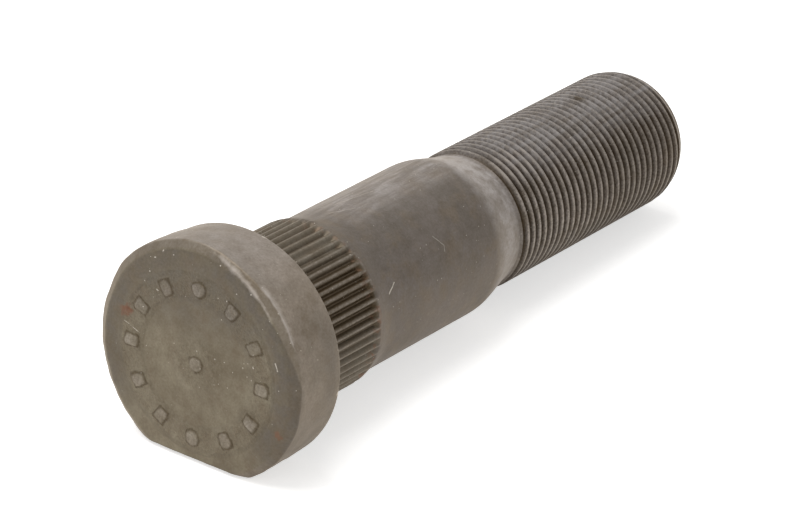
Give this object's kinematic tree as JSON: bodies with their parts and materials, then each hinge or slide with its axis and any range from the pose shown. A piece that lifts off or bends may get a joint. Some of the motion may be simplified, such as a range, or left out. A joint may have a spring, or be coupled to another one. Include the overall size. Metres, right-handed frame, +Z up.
{
  "type": "wheel stud",
  "caption": "D-head wheel stud: its serrations press into a hub, its flat stops it turning, and its metric thread takes the wheel nut.",
  "frame": {"origin": "on the stud's axis, at the face under the head that bears on the hub", "axes": "+X along the stud towards the thread end, 2.29 degrees above the true axis because the stud lies at rest on its flat and its thread end's rim; +Z up; the flat faces down"},
  "size_m": [0.1098, 0.0354, 0.0329],
  "materials": {
    "phosphated_steel": "dark phosphate over forged and rolled steel, matt, lightly oiled, with faint rust specks"
  },
  "bodies": {
    "root": {"wheel_stud": "phosphated_steel"}
  },
  "joints": []
}
